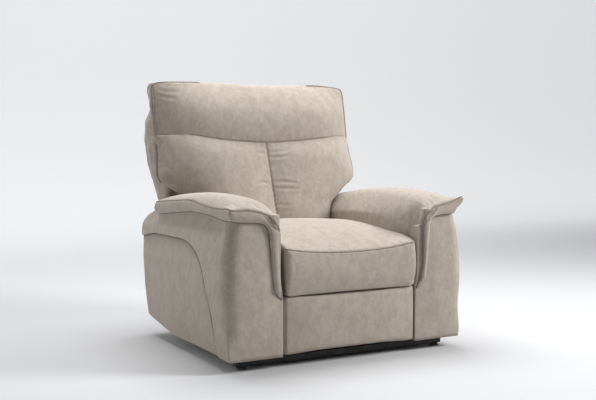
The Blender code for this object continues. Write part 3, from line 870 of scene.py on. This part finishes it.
def build_pillow(side_name, settings):
    side = SIDES[side_name]
    node = "arm_pillow_" + side_name
    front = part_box(node)[0].y + 0.002
    tip_rise = TIP_RISE[side_name]
    shift = STRIP_SHIFT[side_name]

    def place(a, b, c):
        back = (b + 1) / 2 * PILLOW_LENGTH
        slim = 0.017 * (1 - ease(back / 0.12)) + shift * (1 - clamp(back / 0.07)) ** 2
        inner = 0.281 + slim
        x = lerp(inner, PILLOW_OUT, (a + 1) / 2)
        z = lerp(pillow_foot(x, back), pillow_top(x, back, tip_rise), (c + 1) / 2)
        belly = 1 - c * c
        edge_out = clamp(a)
        under = (1 - c) / 2
        tip = exp(-(back / 0.05) ** 2)
        undercut = lerp(0.010, TIP_UNDERCUT[side_name], tip)
        x += (0.006 * belly + 0.004 - undercut * under ** 1.5) * edge_out ** 4
        z += TIP_LIFT[side_name] * tip * under * edge_out ** 6
        y = front + back + (0.010 * under - 0.007 * belly) * clamp(-b) ** 8
        y -= TIP_REACH[side_name] * tip * edge_out ** 6
        tuck = round_off(x - inner, 0.02) * clamp(-b) ** 6
        return Vector((side * x, y + tuck, z))

    bm = dense_box((44, 120, 16))
    shape(bm, place)

    def strip_edge(z):
        return table(z, STRIP_INNER) + shift * ease((z - STRIP_FOOT) / 0.10)

    def place_strip(a, b, c):
        z = lerp(STRIP_FOOT, 0.545, (c + 1) / 2)
        right = table(z, STRIP_OUTER) + 0.2 * shift * ease((z - STRIP_FOOT) / 0.10)
        x = lerp(strip_edge(z), right, (a + 1) / 2)
        crown = sqrt(max(1 - (a * 0.92) ** 2, 0.0)) * ease((z - STRIP_FOOT) / 0.05)
        face = front + 0.014 - 0.017 * crown
        y = lerp(front + 0.045, face, (1 - b) / 2)
        return Vector((side * x, y, z))

    strip = dense_box((14, 10, 60))
    shape(strip, place_strip)
    strip_mesh = bpy.data.meshes.new("strip")
    strip.to_mesh(strip_mesh)
    strip.free()
    bm.from_mesh(strip_mesh)
    bpy.data.meshes.remove(strip_mesh)
    cover = make_object("arm_pillow_cover_" + side_name, bm, settings.suede)
    remesh(cover, 0.0050)
    relax(cover, 2)

    def at(x, back):
        return (side * x, front + back, pillow_top(x, back, tip_rise))

    side_welt = [at(PILLOW_OUT + 0.002, back) for back in (
        0.004, 0.03, 0.06, 0.10, 0.15, 0.20, 0.26, 0.32, 0.38, 0.44, 0.50, 0.56, 0.62, 0.66, 0.69, 0.705)]
    front_welt = [at(x, 0.001) for x in (
        0.495, 0.475, 0.457, 0.438, 0.42, 0.40, 0.385, 0.368, 0.353, 0.342, 0.335, 0.328, 0.322)]
    inner_edge = [
        (side * strip_edge(z), front + 0.008, z) for z in (0.48, 0.44, 0.40, 0.35, 0.30, 0.27, 0.25, 0.238)]
    front_line = [*front_welt, *inner_edge]
    outer_edge = [(side * (table(z, STRIP_OUTER) + 0.2 * shift), front + 0.012, z) for z in (
        0.238, 0.256, 0.281, 0.33, 0.387, 0.44, 0.48)]
    foot_line = [
        place(1.0, back / PILLOW_LENGTH * 2 - 1, -0.94)
        for back in (0.68, 0.6, 0.5, 0.4, 0.3, 0.2, 0.15, 0.1, 0.06, 0.03, 0.01, 0.0)
    ] + [place(a, -1.0, -0.94) for a in (0.9, 0.8, 0.6, 0.4, 0.2, 0.0, -0.2, -0.35, -0.5)]
    inflate(cover, [side_welt, front_line, outer_edge, foot_line], cap=0.010)
    if len(cover.data.polygons) < MOST_FACES:
        refine(cover)
    stitch(cover, [side_welt, front_line], width=0.004, depth=0.0022, pucker=0.0012, reach=0.016)
    stitch(cover, [outer_edge], width=0.004, depth=0.002, pucker=0.001, reach=0.012)
    pleats = [[(side * x, front - ahead, z) for x, ahead, z in pleat] for pleat in PLEATS]
    stitch(cover, pleats, width=0.0045, depth=0.0034, pucker=0.0016, reach=0.012)
    crease(cover, [
        [at(0.488, 0.135), at(0.470, 0.150), at(0.452, 0.155), at(0.440, 0.150)],
        [at(0.480, 0.115), at(0.462, 0.125), at(0.45, 0.13)],
    ], width=0.006, depth=0.0014)
    finish_cover(cover, "chair", [node])
    # Painted shade: thin dark cords along the pillow's band foot and the strip's outer edge.
    for label, line in (("side", foot_line), ("strip", outer_edge)):
        name = f"pillow_foot_{label}_{side_name}"
        welt(name, cover, line, settings.shade, "chair", lift=0.0, radius=0.0018)
    welt("pillow_welt_side_" + side_name, cover, side_welt, settings.welt, "chair")
    welt("pillow_welt_front_" + side_name, cover, front_line, settings.welt, "chair")


# ---------------------------------------------------------------- back

HEAD_HALF = 0.455
LUMBAR_HALF = 0.45
LUMBAR_FOOT = 0.035
MIDDLE_FORWARD = 0.086
# Half the back's width at each height along it.
HALF_WIDTH = [(0.02, 0.274), (0.13, 0.278), (0.165, 0.294), (0.20, 0.342), (0.245, 0.402), (0.275, 0.442),
              (0.300, 0.468), (0.330, 0.473), (0.37, 0.469), (0.42, 0.466), (0.60, 0.467), (0.73, 0.467)]


def roll_seam(x):
    """Height along the back of the seam under the head roll."""
    share = abs(x) / HEAD_HALF
    return 0.4430 + 0.050 * share ** 1.7 + 0.006 * exp(-((x + 0.33) / 0.07) ** 2)


def side_face(up):
    """How far forward of the leaning line the front welt of the back lies."""
    return table(up, [
        (0.0, 0.070), (0.15, 0.066), (0.21, 0.045), (0.26, 0.012),
        (0.297, -0.008), (0.45, 0.002), (0.70, 0.034)])


def lumbar_front(x, up, half):
    seam = roll_seam(x)
    share = clamp(abs(x) / half)
    base = lerp(MIDDLE_FORWARD, side_face(up), share ** 5.0)
    lobe = 1 - abs(1 - 2 * clamp(share * 1.02)) ** 2.5
    rise = 1 - clamp(1 - (seam - up) / 0.10) ** 2.2
    low_fade = 0.55 + 0.45 * ease(up / 0.14)
    return base + 0.034 * lobe * rise * low_fade


def head_front(x, up):
    seam = roll_seam(x)
    top = 0.708
    share = clamp(abs(x) / HEAD_HALF)
    base = lerp(MIDDLE_FORWARD, side_face(up), share ** 5.0)
    t = clamp((up - seam) / (top - seam))
    roll = (1 - (1 - clamp(t / 0.45)) ** 2.2) * (1 - 0.75 * clamp((t - 0.45) / 0.55) ** 1.8)
    fall = clamp((t - 0.45) / 0.55) ** 1.6
    return base + 0.034 * roll * (1 - share ** 4) - 0.032 * fall * (1 - share ** 3)


def build_lumbar(settings):
    def place(a, b, c):
        share_up = (c + 1) / 2
        up = lerp(LUMBAR_FOOT, 0.4405, share_up)
        half = curve_table(up, HALF_WIDTH)
        x = a * half
        seam = roll_seam(x) + 0.006
        up = lerp(LUMBAR_FOOT, seam, share_up)
        forward = lumbar_front(x, up, half)
        rear = lerp(-0.042, -0.030, ease((up - 0.24) / 0.06))
        edge = round_off(half - abs(x), 0.012)
        into = (1 - b) / 2
        depth = lerp(rear, forward - edge * 0.5, into)
        side_puff = 0.010 * (1 - (2 * into - 1) ** 2) * ease((up - 0.28) / 0.05)
        wing = 0.038 * exp(-((up - 0.292) / 0.045) ** 2) * exp(-((abs(a) - 0.955) / 0.07) ** 2)
        wing *= ease(into * 2 - 0.6)
        x += (1 if a > 0 else -1) * (side_puff * abs(a) ** 8 + wing)
        return leaned(x, depth, up)

    cover = soft_form("lumbar_cover", (96, 16, 56), place, settings.suede, 0.0065, 3)
    centre = [leaned(0.0, lumbar_front(0.0, up, LUMBAR_HALF), up) for up in (
        0.436, 0.40, 0.36, 0.32, 0.28, 0.24, 0.20, 0.16, 0.12, 0.09)]
    edges = []
    for side in (-1, 1):
        edges.append([
            leaned(side * (curve_table(up, HALF_WIDTH) - 0.003), side_face(up) + 0.001, up)
            for up in (0.455, 0.42, 0.38, 0.345, 0.315, 0.295)
        ])
    top_line = [
        leaned(x, lumbar_front(x, roll_seam(x) - 0.002, LUMBAR_HALF), roll_seam(x) - 0.001)
        for x in [k / 10 * 0.44 for k in range(-10, 11)]
    ]
    inflate(cover, [centre, *edges, top_line], cap=0.016)
    refine(cover)
    stitch(cover, [centre], width=0.0045, depth=0.004, pucker=0.0016, reach=0.032, pitch=0.018)
    stitch(cover, [top_line], width=0.0032, depth=0.0012, pucker=0.0022, reach=0.030, pitch=0.022)
    stitch(cover, edges, width=0.0045, depth=0.002, pucker=0.0016, reach=0.02)

    def on_front(x, up):
        return leaned(x, lumbar_front(x, up, LUMBAR_HALF), up)

    crease(cover, [
        [on_front(0.004, 0.395), on_front(0.04, 0.398), on_front(0.085, 0.402)],
        [on_front(0.004, 0.375), on_front(0.05, 0.372), on_front(0.09, 0.376)],
        [on_front(-0.004, 0.385), on_front(-0.03, 0.392), on_front(-0.06, 0.389)],
        [on_front(0.006, 0.262), on_front(0.05, 0.262), on_front(0.11, 0.250)],
        [on_front(0.006, 0.238), on_front(0.05, 0.232), on_front(0.10, 0.226)],
        [on_front(-0.006, 0.255), on_front(-0.05, 0.262), on_front(-0.09, 0.250)],
        [on_front(0.006, 0.168), on_front(0.04, 0.160), on_front(0.08, 0.158)],
    ], width=0.008, depth=0.0021)
    finish_cover(cover, "back", ["lumbar_cushion"])
    return cover, edges


def head_top(x):
    share = abs(x) / HEAD_HALF
    return 0.716 + 0.004 * share ** 4 + 0.004 * exp(-((x - 0.27) / 0.09) ** 2)


def build_head(settings):
    rear = -0.030

    def place(a, b, c):
        share_up = (c + 1) / 2
        x = a * HEAD_HALF
        low = roll_seam(x) - 0.006
        top = head_top(x) - round_off(HEAD_HALF - abs(x), 0.010) * 0.8
        up = lerp(low, top, share_up)
        half = curve_table(up, HALF_WIDTH)
        x = a * half
        forward = head_front(x, up)
        into = (1 - b) / 2
        depth = lerp(rear, forward - round_off(half - abs(x), 0.012) * 0.5, into)
        belly = 1 - (2 * into - 1) ** 2
        x += (1 if a > 0 else -1) * 0.006 * belly * abs(a) ** 8
        up += 0.012 * belly * clamp(c) ** 6
        up -= 0.010 * (1 - into) ** 2 * clamp(c) ** 6
        return leaned(x, depth, up)

    cover = soft_form("head_cover", (96, 18, 44), place, settings.suede, 0.0065, 3)
    rim = []
    for side in (-1, 1):
        rim.append([
            leaned(side * (curve_table(up, HALF_WIDTH) - 0.003), side_face(up) + 0.001, up)
            for up in (0.470, 0.52, 0.57, 0.62, 0.66, 0.680)
        ] + [
            leaned(side * x, head_front(x, up) - 0.004, up)
            for x, up in ((0.459, 0.700), (0.448, 0.713), (0.42, 0.717), (0.35, 0.717), (0.26, 0.716))
        ])
    low_line = [
        leaned(x, head_front(x, roll_seam(x) + 0.002), roll_seam(x) + 0.001)
        for x in [k / 10 * 0.44 for k in range(-10, 11)]
    ]
    inflate(cover, [*rim, low_line], cap=0.014)
    refine(cover)
    stitch(cover, [low_line], width=0.0032, depth=0.0012, pucker=0.0018, reach=0.03, pitch=0.02)
    stitch(cover, rim, width=0.0045, depth=0.002, pucker=0.0022, reach=0.022)

    def on_front(x, up):
        return leaned(x, head_front(x, up), up)

    crease(cover, [
        [on_front(-0.447, 0.688), on_front(-0.41, 0.672), on_front(-0.36, 0.668)],
        [on_front(-0.447, 0.665), on_front(-0.41, 0.645), on_front(-0.37, 0.630)],
    ], width=0.009, depth=0.0013)
    finish_cover(cover, "back", ["head_cushion"])
    return cover, rim


def build_back_welts(settings, lumbar, edges, head, rims):
    """One cord each side, from the top of the head roll down to the wing's low corner."""
    for name, low_line, high_line in zip(("right", "left"), edges, rims):
        low_part = snapped(lumbar, low_line[1:], lift=0.0008)
        high_part = snapped(head, high_line, lift=0.0008)
        route = [*reversed(low_part), *high_part]
        cord("back_welt_" + name, route[::2], settings.welt, "back")


# How far back the outer back lies at each height, and half its width there.
SHELL_REAR = [(0.245, 0.373), (0.36, 0.395), (0.50, 0.420), (0.70, 0.450), (0.885, 0.473), (0.925, 0.470),
              (0.97, 0.462)]
SHELL_WIDTH = [(0.245, 0.272), (0.44, 0.272), (0.50, 0.38), (0.54, 0.420), (0.62, 0.438), (0.70, 0.455),
               (0.80, 0.466), (0.88, 0.460), (0.93, 0.440), (0.96, 0.42)]


def build_shell(settings):
    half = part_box("back_shell")[1].x

    def place(a, b, c):
        up = lerp(-0.095, 0.640, (c + 1) / 2)
        probe = leaned(0.0, -0.07, up)
        x = a * min(table(probe.z, SHELL_WIDTH), half)
        belly = 1 - (b * 0.96) ** 4
        x += (1 if a > 0 else -1) * 0.010 * belly * abs(a) ** 6
        up += 0.010 * belly * clamp(c) ** 6 - 0.014 * abs(a) ** 8 * clamp(c) ** 4
        point = leaned(x, -0.034, up)
        behind = table(point.z, SHELL_REAR) - 0.006 * (a * a) ** 3
        ahead = lerp(behind - 0.016, point.y, ease((point.z - 0.50) / 0.10))
        point.y = lerp(ahead, behind, (b + 1) / 2)
        return point

    cover = soft_form("back_shell_cover", (80, 14, 66), place, settings.suede, 0.0075, 3)

    seams = [
        [place(side * 0.93, 1.0, c) for c in (-0.5, -0.2, 0.0, 0.2, 0.4, 0.6, 0.8, 0.90)]
        for side in (-1, 1)
    ]
    top_seam = [place(a, 1.0, 0.94) for a in (-0.93, -0.6, -0.3, 0, 0.3, 0.6, 0.93)]
    inflate(cover, [*seams, top_seam], cap=0.010)
    refine(cover)
    stitch(cover, [*seams, top_seam], width=0.005, depth=0.003, pucker=0.0015)
    folds = [
        [place(side, b, c) for b, c in ((0.2, 0.75), (0.1, 0.45), (0.25, 0.1), (0.2, -0.1))]
        for side in (-1, 1)
    ]
    crease(cover, folds, width=0.014, depth=0.004)
    finish_cover(cover, "back", ["back_shell"])


def build_apron(settings):
    low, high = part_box("rear_apron")
    centre = (low + high) / 2
    size = (high - low) / 2

    def place(a, b, c):
        puff = 0.004 * (1 - a ** 4) * (1 - c ** 4) * clamp(b)
        return Vector((
            centre.x + a * size.x,
            centre.y + b * size.y * 0.98 + puff,
            centre.z + c * size.z))

    bm = dense_box((60, 4, 20))
    shape(bm, place)
    cover = make_object("rear_apron_cover", bm, settings.suede)
    finish_cover(cover, "chair", ["rear_apron"])


# ---------------------------------------------------------------- hardware and stage

HARDWARE = {
    "black_steel": ("base_front_tube", "base_rear_tube", "base_side_tube", "swing_post", "carriage_rail",
                    "mechanism_plate", "torque_tube", "footrest_bracket", "back_hinge_plate"),
    "zinc_steel": ("swing_link", "crank_link", "guide_link", "front_link", "control_link", "seat_spring",
                   "latch_pawl"),
    "timber": ("seat_front_rail", "seat_rear_rail", "arm_board", "back_stile", "back_top_rail",
               "back_bottom_rail", "footrest_board"),
    "webbing": ("back_webbing",),
    "dark_plastic": ("floor_glide", "release_bezel", "release_cable", "release_pull"),
}


def finish_hardware():
    """Gives every bare node a worked finish."""
    materials = {
        "black_steel": metal_material(
            "black_steel_finish", (0.018, 0.018, 0.019, 1), (0.06, 0.058, 0.055, 1), 0.42, 0.35),
        "zinc_steel": metal_material(
            "zinc_steel_finish", (0.52, 0.53, 0.55, 1), (0.36, 0.36, 0.37, 1), 0.28, 1.0),
        "timber": timber_material("timber_finish", (0.55, 0.38, 0.22, 1), (0.36, 0.22, 0.11, 1)),
        "webbing": webbing_material("webbing_finish", (0.30, 0.27, 0.22, 1), (0.16, 0.14, 0.11, 1)),
        "dark_plastic": plastic_material("dark_plastic_finish", (0.03, 0.03, 0.032, 1)),
    }
    for node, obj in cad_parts.items():
        for kind, stems in HARDWARE.items():
            if node.startswith(stems):
                for index in range(len(obj.data.materials)):
                    obj.data.materials[index] = materials[kind]
                if not obj.data.materials:
                    obj.data.materials.append(materials[kind])


def area_light(name, place, target, size, power):
    light = bpy.data.lights.new(name, "AREA")
    light.shape = "RECTANGLE"
    light.size = size[0]
    light.size_y = size[1]
    light.energy = power
    obj = bpy.data.objects.new(name, light)
    bpy.context.scene.collection.objects.link(obj)
    obj.location = place
    aim = Vector(target) - Vector(place)
    obj.rotation_euler = aim.to_track_quat("-Z", "Y").to_euler()


BACKDROP_START = 4.0
BACKDROP_RADIUS = 3.0
CAMERA_PLACE = (-1.829, -3.346, 0.785)
CAMERA_DOWN = 3.33
CAMERA_TURN = 29.04


def build_stage(settings):
    material, tree, shader = new_material("floor_with_painted_glow", {
        "Base Color": settings.floor_colour, "Roughness": 0.85, "Specular IOR Level": 0.2,
        "Emission Strength": 1.0})
    # Painted light: the floor glows, from nothing 0.8 m behind the chair's middle to full at 5.5 m, so the
    # floor and backdrop behind the chair read pale.
    place = make_node(tree, "ShaderNodeSeparateXYZ", {}, {"Vector": object_place(tree)}, output=1)
    far = spread(tree, place, 0.8, 5.5)
    painted_backdrop_glow = colour_mix(tree, far, (0, 0, 0, 1), (0.53, 0.533, 0.543, 1))
    tree.links.new(painted_backdrop_glow.socket, shader.inputs["Emission Color"])
    bm = bmesh.new()
    bmesh.ops.create_grid(bm, x_segments=2, y_segments=240, size=16.0)
    for vert in bm.verts:
        beyond = vert.co.y - BACKDROP_START
        quarter = BACKDROP_RADIUS * pi / 2
        if beyond > quarter:
            vert.co.y = BACKDROP_START + BACKDROP_RADIUS
            vert.co.z = BACKDROP_RADIUS + beyond - quarter
        elif beyond > 0:
            angle = beyond / BACKDROP_RADIUS
            vert.co.y = BACKDROP_START + BACKDROP_RADIUS * sin(angle)
            vert.co.z = BACKDROP_RADIUS * (1 - cos(angle))
    floor = make_object("studio_floor", bm, material)
    world = bpy.data.worlds.new("studio_air")
    bpy.context.scene.world = world
    world.use_nodes = True
    background = world.node_tree.nodes["Background"]
    background.inputs["Color"].default_value = (0.93, 0.935, 0.95, 1)
    background.inputs["Strength"].default_value = 0.21
    target = (0.0, -0.05, 0.5)
    area_light("key_light", (3.2, -2.4, 2.8), target, (1.5, 1.5), 190)
    area_light("top_light", (0.1, 0.7, 3.2), target, (2.4, 2.0), 108)
    area_light("side_light", (-3.4, 1.6, 1.6), target, (1.6, 2.0), 27)
    camera = bpy.data.cameras.new("camera")
    camera.lens = 56.8
    camera.sensor_width = 36.0
    viewer = bpy.data.objects.new("camera", camera)
    bpy.context.scene.collection.objects.link(viewer)
    viewer.location = CAMERA_PLACE
    viewer.rotation_euler = Euler((radians(90 - CAMERA_DOWN), 0.0, radians(-CAMERA_TURN)))
    bpy.context.scene.camera = viewer
    bpy.context.scene.view_settings.view_transform = "Standard"
    bpy.context.scene.view_settings.look = "None"


class Looks:
    """What the makers share: the colours and materials of one chair."""

    def __init__(self, props):
        self.floor_colour = (*props.floor_colour, 1.0)
        dark = (*props.suede_dark, 1.0)
        light = (*props.suede_light, 1.0)
        # The seam tone is the seams' painted shade and the welts' darker tone.
        seam = (*props.seam_shade_and_welt_colour, 1.0)
        # The darkest tone and the shade material colour the thin dark cords of painted shade along the
        # arms' arc seams and the pillows' feet.
        deep = tuple(0.4 * part for part in props.seam_shade_and_welt_colour) + (1.0,)
        made = bpy.data.materials.get
        self.suede = made("suede_finish") or suede_material("suede_finish", dark, light, seam)
        self.welt = made("welt_finish") or welt_and_shade_cord_material("welt_finish", seam, dark)
        self.shade = made("seam_finish") or welt_and_shade_cord_material("seam_finish", deep, seam)


# ---------------------------------------------------------------- add-on

class GliderChairSettings(bpy.types.PropertyGroup):
    welt_radius: bpy.props.FloatProperty(
        name="Welt radius", description="Radius of the covered cords in the seams", subtype="DISTANCE",
        unit="LENGTH", min=0.001, max=0.006, precision=4, default=0.0026)
    seat_overhang: bpy.props.FloatProperty(
        name="Seat overhang", description="How far the seat's border stands ahead of its foam",
        subtype="DISTANCE", unit="LENGTH", min=0.0, max=0.02, precision=4, default=0.010)
    filling: bpy.props.FloatProperty(
        name="Filling", description="Pressure that fills the cushions' covers", min=0.0, max=10.0,
        default=4.0)
    suede_dark: bpy.props.FloatVectorProperty(
        name="Suede shade", description="Darker tone of the brushed suede", subtype="COLOR",
        size=3, min=0.0, max=1.0, default=(0.365, 0.314, 0.263))
    suede_light: bpy.props.FloatVectorProperty(
        name="Suede light", description="Lighter tone of the brushed suede", subtype="COLOR",
        size=3, min=0.0, max=1.0, default=(0.455, 0.399, 0.344))
    # The seams' painted shade, which is also the welts' darker tone.
    seam_shade_and_welt_colour: bpy.props.FloatVectorProperty(
        name="Seams", description="Colour in the seams and of the welts' dark side", subtype="COLOR",
        size=3, min=0.0, max=1.0, default=(0.16, 0.125, 0.095))
    floor_colour: bpy.props.FloatVectorProperty(
        name="Floor", description="Colour of the studio floor", subtype="COLOR",
        size=3, min=0.0, max=1.0, default=(0.585, 0.59, 0.603))


def looks():
    return Looks(chosen())


class GLIDER_OT_seat(bpy.types.Operator):
    """Builds the seat cushion's cover with its welts"""
    bl_idname = "glider.seat"
    bl_label = "Seat"

    def execute(self, context):
        build_seat(looks())
        return {"FINISHED"}


class GLIDER_OT_footrest(bpy.types.Operator):
    """Builds the footrest's padded panel"""
    bl_idname = "glider.footrest"
    bl_label = "Footrest"

    def execute(self, context):
        build_footrest(looks())
        return {"FINISHED"}


class GLIDER_OT_arms(bpy.types.Operator):
    """Builds both arms' covers and their pillow pads"""
    bl_idname = "glider.arms"
    bl_label = "Arms"

    def execute(self, context):
        for side_name in SIDES:
            build_arm_cover(side_name, looks())
            build_pillow(side_name, looks())
        return {"FINISHED"}


class GLIDER_OT_back(bpy.types.Operator):
    """Builds the lumbar cushion, the head roll and the outer back"""
    bl_idname = "glider.back"
    bl_label = "Back"

    def execute(self, context):
        lumbar, edges = build_lumbar(looks())
        head, rims = build_head(looks())
        build_back_welts(looks(), lumbar, edges, head, rims)
        build_shell(looks())
        build_apron(looks())
        return {"FINISHED"}


class GLIDER_OT_hardware(bpy.types.Operator):
    """Gives the steel, timber, webbing and plastic pieces their finishes"""
    bl_idname = "glider.hardware"
    bl_label = "Hardware"

    def execute(self, context):
        finish_hardware()
        return {"FINISHED"}


class GLIDER_OT_stage(bpy.types.Operator):
    """Adds the studio floor, the lights and the camera"""
    bl_idname = "glider.stage"
    bl_label = "Stage"

    def execute(self, context):
        build_stage(looks())
        return {"FINISHED"}


class GLIDER_PT_panel(bpy.types.Panel):
    bl_label = "Glider Chair"
    bl_idname = "GLIDER_PT_panel"
    bl_space_type = "VIEW_3D"
    bl_region_type = "UI"
    bl_category = "Glider Chair"

    def draw(self, context):
        for name in GliderChairSettings.__annotations__:
            self.layout.prop(chosen(), name)
        for operator in OPERATORS:
            self.layout.operator(operator.bl_idname)


OPERATORS = (
    GLIDER_OT_seat, GLIDER_OT_footrest, GLIDER_OT_arms, GLIDER_OT_back, GLIDER_OT_hardware, GLIDER_OT_stage)
CLASSES = (GliderChairSettings, *OPERATORS, GLIDER_PT_panel)


def register():
    for cls in CLASSES:
        bpy.utils.register_class(cls)
    bpy.types.Scene.glider_chair = bpy.props.PointerProperty(type=GliderChairSettings)


def unregister():
    del bpy.types.Scene.glider_chair
    for cls in reversed(CLASSES):
        bpy.utils.unregister_class(cls)


def main():
    register()
    bpy.ops.glider.seat()
    bpy.ops.glider.footrest()
    bpy.ops.glider.arms()
    bpy.ops.glider.back()
    bpy.ops.glider.hardware()
    bpy.ops.glider.stage()


if __name__ == "__main__":
    main()
